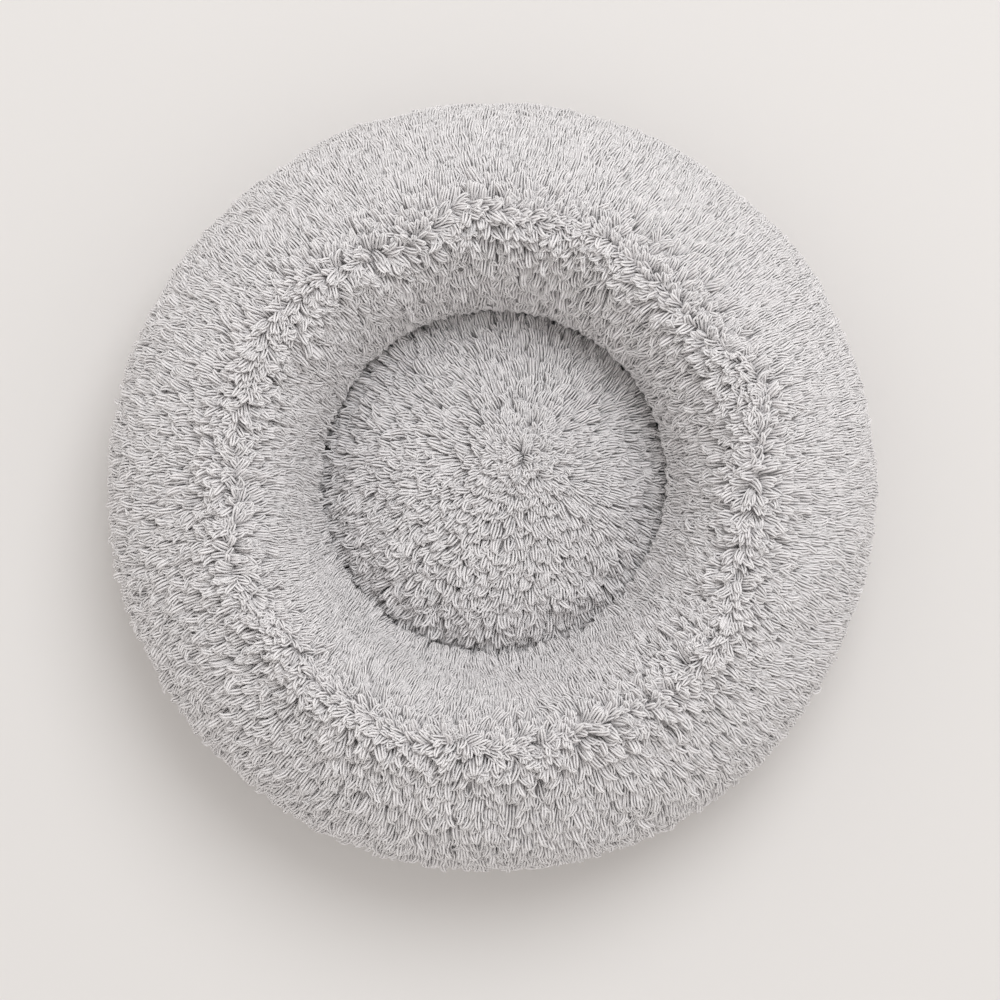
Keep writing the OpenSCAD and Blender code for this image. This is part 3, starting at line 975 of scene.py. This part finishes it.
def rim_tufts(rng):
    """Where the rim's tufts grow and how each lies, as columns for tufts_of_strands."""
    run, angle = rim.scatter(rng, 3 * MM, rim.run[-1] - 5 * MM, *RIM_PITCH)
    extra = int(TURN * CREST_R / (0.8 * MM))
    run = np.concatenate([run, CREST_RUN + rng.normal(0, 8 * MM, extra)])
    angle = np.concatenate([angle, rng.uniform(0, TURN, extra)])
    upright = np.concatenate([np.zeros(len(run) - extra), np.ones(extra)])
    point, normal, along = rim.at(run, angle)
    crest = CREST_RUN + 6 * MM * waves(rng, angle, 0 * run, turns=(2, 14))
    off = run - crest
    near = np.exp(-(off / (15 * MM)) ** 2)
    # The pile parts along the crest, and close to the parting it is swept a little along the rim
    part = np.tanh(off / (5 * MM))[:, None]
    sweep = 0.9 * waves(rng, angle, 0 * run, turns=(2, 9))[:, None] * (1 - part**2)
    way = unit(part * along + sweep * np.cross(normal, along))
    turn = (0.16 + 0.30 * near) * waves(rng, angle, run, turns=(2, 16))
    comb = turn_about(way, normal, turn + rng.normal(0, 1, len(run)) * (0.08 + 0.14 * near + 0.2 * upright))
    for centre_angle in COWLICKS:
        centre = rim.at(np.array([CREST_RUN]), np.array([centre_angle]))[0][0]
        away, distance = away_from(point, normal, centre)
        share = 0.5 * np.exp(-(distance / (14 * MM)) ** 2)[:, None]
        comb = unit(comb * (1 - share) + away * share)
    # Roots lie behind the tips, so that the pile covers the parting that it is combed away from
    point = rim.at(run - 5 * MM * near * np.sum(comb * along, 1), angle)[0]
    # 1 where the pile is fine and flat, outside at the upper right and inside at the lower left, and 0
    # where it is loose
    fine = 0.5 - 0.5 * part[:, 0] * np.cos(angle - FINE_SIDE)
    loose = np.clip(0.9 - 0.85 * fine + 0.35 * near, 0, 1.1)
    # Past the widest part of the rim the pile hangs down and lies flatter
    loose = loose * (1 - 0.45 * np.clip((-off - 95 * MM) / (45 * MM), 0, 1))
    length = (16.5 + 4.5 * loose + 1 * upright) * rng.uniform(0.88, 1.12, len(run))
    # Pile just above the seat's edge curves inwards over it
    over = np.exp(-((point[:, 2] - 100 * MM) / (12 * MM)) ** 2) * (off > 0) * (0.75 - 0.35 * np.sin(angle))
    length = (length + 2.2 * over * (1 - np.sin(angle))) * MM
    lift = 0.46 + 0.36 * loose + 0.35 * near * (1 - upright) + 0.55 * upright + 0.3 * over
    low = -0.22 + 0.30 * loose + 0.20 * near + 0.35 * upright + 0.7 * over
    width = (5.8 + 0.6 * loose) * MM * rng.uniform(0.85, 1.15, len(run))
    keep = rng.uniform(0, 1, len(run)) > 0.3 * loose * (1 - near)
    columns = (point, normal, comb, length, lift, low, width, loose)
    return angle[keep], off[keep], [column[keep] for column in columns]


def seat_tufts(rng):
    """Where the seat's tufts grow and how each lies, as columns for tufts_of_strands."""
    run, angle = seat.scatter(rng, 6 * MM, seat.run[-1], *SEAT_PITCH)
    point, normal, _ = seat.at(run, angle)
    reach = WHORL_R * rng.uniform(0, 1, WHORL_TUFTS) ** 0.6
    spin = rng.uniform(0, TURN, WHORL_TUFTS)
    x = WHORL[0] + reach * np.cos(spin)
    y = WHORL[1] + reach * np.sin(spin)
    run_at = np.interp(-np.hypot(x, y), -seat.radius, seat.run)
    more, more_normal, _ = seat.at(run_at, np.arctan2(y, x) % TURN)
    point, normal = np.concatenate([point, more]), np.concatenate([normal, more_normal])
    radius, angle = polar(point)
    upright = np.concatenate([np.zeros(len(run)), np.ones(WHORL_TUFTS)])
    away, distance = away_from(point, normal, WHORL)
    near = np.exp(-(distance / (22 * MM)) ** 2)
    count = len(point)
    turn = 0.16 * waves(rng, angle, distance, turns=(2, 12)) + rng.normal(0, 1, count) * (0.08 + 0.6 * near)
    comb = turn_about(away, normal, turn)
    loose = np.clip(0.75 + 0.3 * near - 0.4 * np.cos(angle - FINE_SIDE), 0, 1.2)
    # The pile stands out round the shoulder, where it fills the crease between seat and wall
    shoulder = np.clip((radius / SEAT_R - 0.78) / 0.12, 0, 1)
    level = np.radians(82) - np.arcsin(np.clip(normal[:, 2], -1, 1))
    length = (16 + 1.5 * loose + 3 * shoulder) * MM * rng.uniform(0.85, 1.15, count)
    lift = (0.74 + 0.2 * loose + 0.3 * near + 0.2 * upright) * (1 - shoulder) + (level + 0.4) * shoulder
    low = (-0.10 + 0.25 * loose + 0.3 * near + 0.2 * upright) * (1 - shoulder) + level * shoulder
    # On the upright side it hangs down along the cloth
    side = np.clip((0.55 - normal[:, 2]) / 0.35, 0, 1)
    lift = lift * (1 - side) + 0.62 * side
    low = low * (1 - side) + 0.12 * side
    width = (5.0 + 0.6 * loose + 0.8 * side) * MM * rng.uniform(0.85, 1.15, count)
    return point, normal, comb, length, lift, low, width, loose


def grow_pile(rng):
    """The pile of the two wall panels, in sectors that keep each piece's mesh light, and of the seat."""
    angle, off, columns = rim_tufts(rng)
    for panel, inside, sectors in (("outer", off < 0, 12), ("inner", off >= 0, 6)):
        sector = (angle / TURN * sectors).astype(int)
        for k in range(sectors):
            rows = [column[inside & (sector == k)] for column in columns]
            points = tufts_of_strands(rng, *rows, keep_rim)
            pile_piece(rng, f"{panel}_pile_{k + 1:02d}", points, "bed", f"plush_{panel}")
    points = tufts_of_strands(rng, *seat_tufts(rng), keep_seat)
    for k, half in enumerate(np.array_split(points, 2)):
        pile_piece(rng, f"seat_pile_{k + 1:02d}", half, "seat", "plush_seat")


wall_cloths()
seat_cloths()
grow_pile(rng)
inner_rng = np.random.default_rng(11)
bag_and_stuffing(inner_rng, "bolster", "bed", 110)
bag_and_stuffing(inner_rng, "seat", "seat", 80)
well_floor(inner_rng)
base_half(inner_rng, -1, "front")
base_half(inner_rng, 1, "rear")
binding(inner_rng)
zip_side(-1, "front")
zip_side(1, "rear")
zip_metal()
care_label()

# ---- stage

bpy.ops.mesh.primitive_plane_add(size=12)
floor = bpy.context.object
floor.name = "floor"
floor.data.materials.append(plain_material("floor_plain", (0.69, 0.672, 0.660), 0.9))

# The camera looks straight down. At the height FRAME_Z it sees FRAME_HALF to each side.
CAMERA_PLACE = (0.0047, -0.0124, 2.6)
SENSOR_MM = 36
FRAME_HALF = 0.3870
FRAME_Z = 0.08
camera_data = bpy.data.cameras.new("camera")
camera = add_object("camera", camera_data)
bpy.context.scene.camera = camera
camera.location = CAMERA_PLACE
camera_data.sensor_width = SENSOR_MM
camera_data.lens = SENSOR_MM / 2 / (FRAME_HALF / (CAMERA_PLACE[2] - FRAME_Z))

# A big soft light high up behind the bed, a little to the right
KEY_PLACE = Vector((1.2, 2.72, 4.64))
key_data = bpy.data.lights.new("key_light", "AREA")
key_data.shape = "DISK"
key_data.size = 3.5
key_data.energy = 146
key_data.color = (0.96, 0.98, 1.0)
key_light = add_object("key_light", key_data)
key_light.location = KEY_PLACE
key_light.rotation_euler = (-KEY_PLACE).to_track_quat("-Z", "Y").to_euler()

world = bpy.data.worlds.new("world")
bpy.context.scene.world = world
world.use_nodes = True
sky = world.node_tree.nodes["Background"].inputs
sky["Color"].default_value = (1.0, 0.968, 0.935, 1)
sky["Strength"].default_value = 0.83
bpy.context.scene.view_settings.view_transform = "Standard"
